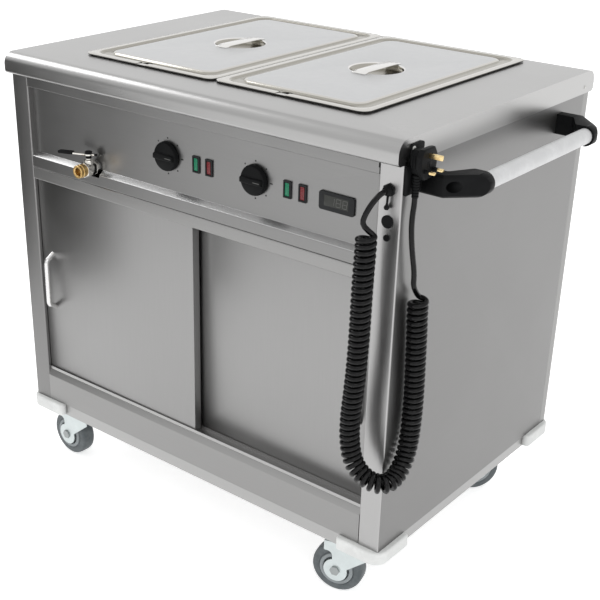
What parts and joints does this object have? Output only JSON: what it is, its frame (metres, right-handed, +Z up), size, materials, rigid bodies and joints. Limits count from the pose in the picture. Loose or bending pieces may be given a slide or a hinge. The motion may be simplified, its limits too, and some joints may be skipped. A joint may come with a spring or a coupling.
{
  "type": "hostess trolley",
  "caption": "Heated servery trolley: lidded lift-out pans over a cupboard with sliding doors, with drain tap, push handle, swivel castors and a curly mains lead.",
  "frame": {"origin": "on the floor, under the middle of the trolley's bounding box measured without its mains lead", "axes": "+Z up, the front with doors and controls facing -Y, the push handle towards +X"},
  "size_m": [1.0052, 0.6935, 0.9083],
  "materials": {
    "steel": "brushed stainless, satin",
    "bright_steel": "polished stainless",
    "black_plastic": "moulded black plastic",
    "grey_plastic": "pale smooth plastic",
    "bumper_plastic": "off-white soft plastic",
    "zinc": "bright zinc plate",
    "tyre": "grey rubber tyre",
    "brass": "cast brass",
    "green": "translucent green lens",
    "red": "translucent red lens",
    "display": "dark display window",
    "cable": "glossy black flex",
    "element": "dark heat-resistant sheath"
  },
  "bodies": {
    "trolley": {"worktop": "steel", "side_panel_left": "steel", "side_panel_right": "steel", "rear_panel": "steel", "chassis": "steel", "corner_bumpers": "bumper_plastic", "plinth": "steel", "head_rail": "steel", "control_panel": "steel", "door_track_lower": "steel", "door_track_upper": "steel", "cupboard_liner": "steel", "cupboard_shelf": "steel", "shelf_runners": "steel", "cupboard_element": "element", "bain_marie_tank": "steel", "pan_divider_bar": "steel", "tank_element": "element", "drain_pipe": "steel", "tap_body": "bright_steel", "tap_outlet": "brass", "thermostats": "black_plastic", "lamp_bezels": "black_plastic", "green_lenses": "green", "red_lenses": "red", "thermometer_bezel": "black_plastic", "thermometer_screen": "display", "handle_brackets": "black_plastic", "handle_tube": "grey_plastic", "fixing_bolts": "zinc", "castor_plates": "zinc", "cable_gland": "black_plastic", "hole_plugs": "black_plastic", "plug_park": "black_plastic", "plug_body": "black_plastic", "plug_pins": "brass", "gland_lead": "cable", "coiled_lead": "cable", "plug_lead": "cable"},
    "tap_handle": {"tap_lever": "steel"},
    "boiler_knob": {"knob_left": "black_plastic"},
    "cupboard_knob": {"knob_right": "black_plastic"},
    "sliding_door_left": {"door_left": "steel", "door_pull_left": "bright_steel"},
    "sliding_door_right": {"door_right": "steel", "door_pull_right": "bright_steel"},
    "gastro_pan_left": {"pan_left": "bright_steel"},
    "pan_cover_left": {"lid_left": "bright_steel", "lid_handle_left": "bright_steel"},
    "gastro_pan_right": {"pan_right": "bright_steel"},
    "pan_cover_right": {"lid_right": "bright_steel", "lid_handle_right": "bright_steel"},
    "swivel_front_left": {"castor_fork_front_left": "zinc"},
    "roller_front_left": {"castor_wheel_front_left": "tyre"},
    "swivel_front_right": {"castor_fork_front_right": "zinc"},
    "roller_front_right": {"castor_wheel_front_right": "tyre"},
    "swivel_rear_left": {"castor_fork_rear_left": "zinc"},
    "roller_rear_left": {"castor_wheel_rear_left": "tyre"},
    "swivel_rear_right": {"castor_fork_rear_right": "zinc"},
    "roller_rear_right": {"castor_wheel_rear_right": "tyre"}
  },
  "joints": [
    {"name": "tap_turn", "type": "hinge", "parent": "trolley", "child": "tap_handle", "pos_m": [-0.2774, -0.306, 0.739], "axis": [0, 0, 1], "range_deg": [-22.5, 67.5]},
    {"name": "boiler_knob_turn", "type": "hinge", "parent": "trolley", "child": "boiler_knob", "pos_m": [-0.0889, -0.288, 0.772], "axis": [0, 1, 0], "range_deg": [0, 270]},
    {"name": "cupboard_knob_turn", "type": "hinge", "parent": "trolley", "child": "cupboard_knob", "pos_m": [0.1131, -0.288, 0.772], "axis": [0, 1, 0], "range_deg": [0, 270]},
    {"name": "door_slide_left", "type": "slide", "parent": "trolley", "child": "sliding_door_left", "axis": [1, 0, 0], "range_m": [0, 0.35]},
    {"name": "door_slide_right", "type": "slide", "parent": "trolley", "child": "sliding_door_right", "axis": [1, 0, 0], "range_m": [-0.35, 0]},
    {"name": "pan_lift_left", "type": "slide", "parent": "trolley", "child": "gastro_pan_left", "axis": [0, 0, 1], "range_m": [0, 0.2]},
    {"name": "lid_lift_left", "type": "slide", "parent": "gastro_pan_left", "child": "pan_cover_left", "axis": [0, 0, 1], "range_m": [0, 0.25]},
    {"name": "pan_lift_right", "type": "slide", "parent": "trolley", "child": "gastro_pan_right", "axis": [0, 0, 1], "range_m": [0, 0.2]},
    {"name": "lid_lift_right", "type": "slide", "parent": "gastro_pan_right", "child": "pan_cover_right", "axis": [0, 0, 1], "range_m": [0, 0.25]},
    {"name": "swivel_turn_front_left", "type": "hinge", "parent": "trolley", "child": "swivel_front_left", "pos_m": [-0.4124, -0.236, 0.111], "axis": [0, 0, 1], "continuous": true},
    {"name": "wheel_roll_front_left", "type": "hinge", "parent": "swivel_front_left", "child": "roller_front_left", "pos_m": [-0.45238, -0.2346, 0.05], "axis": [-0.0349, -0.9994, 0], "continuous": true},
    {"name": "swivel_turn_front_right", "type": "hinge", "parent": "trolley", "child": "swivel_front_right", "pos_m": [0.3316, -0.236, 0.111], "axis": [0, 0, 1], "continuous": true},
    {"name": "wheel_roll_front_right", "type": "hinge", "parent": "swivel_front_right", "child": "roller_front_right", "pos_m": [0.29279, -0.24568, 0.05], "axis": [0.2419, -0.9703, 0], "continuous": true},
    {"name": "swivel_turn_rear_left", "type": "hinge", "parent": "trolley", "child": "swivel_rear_left", "pos_m": [-0.4124, 0.256, 0.111], "axis": [0, 0, 1], "continuous": true},
    {"name": "wheel_roll_rear_left", "type": "hinge", "parent": "swivel_rear_left", "child": "roller_rear_left", "pos_m": [-0.44999, 0.24232, 0.05], "axis": [0.342, -0.9397, 0], "continuous": true},
    {"name": "swivel_turn_rear_right", "type": "hinge", "parent": "trolley", "child": "swivel_rear_right", "pos_m": [0.3316, 0.256, 0.111], "axis": [0, 0, 1], "continuous": true},
    {"name": "wheel_roll_rear_right", "type": "hinge", "parent": "swivel_rear_right", "child": "roller_rear_right", "pos_m": [0.30589, 0.22536, 0.05], "axis": [0.766, -0.6428, 0], "continuous": true}
  ]
}
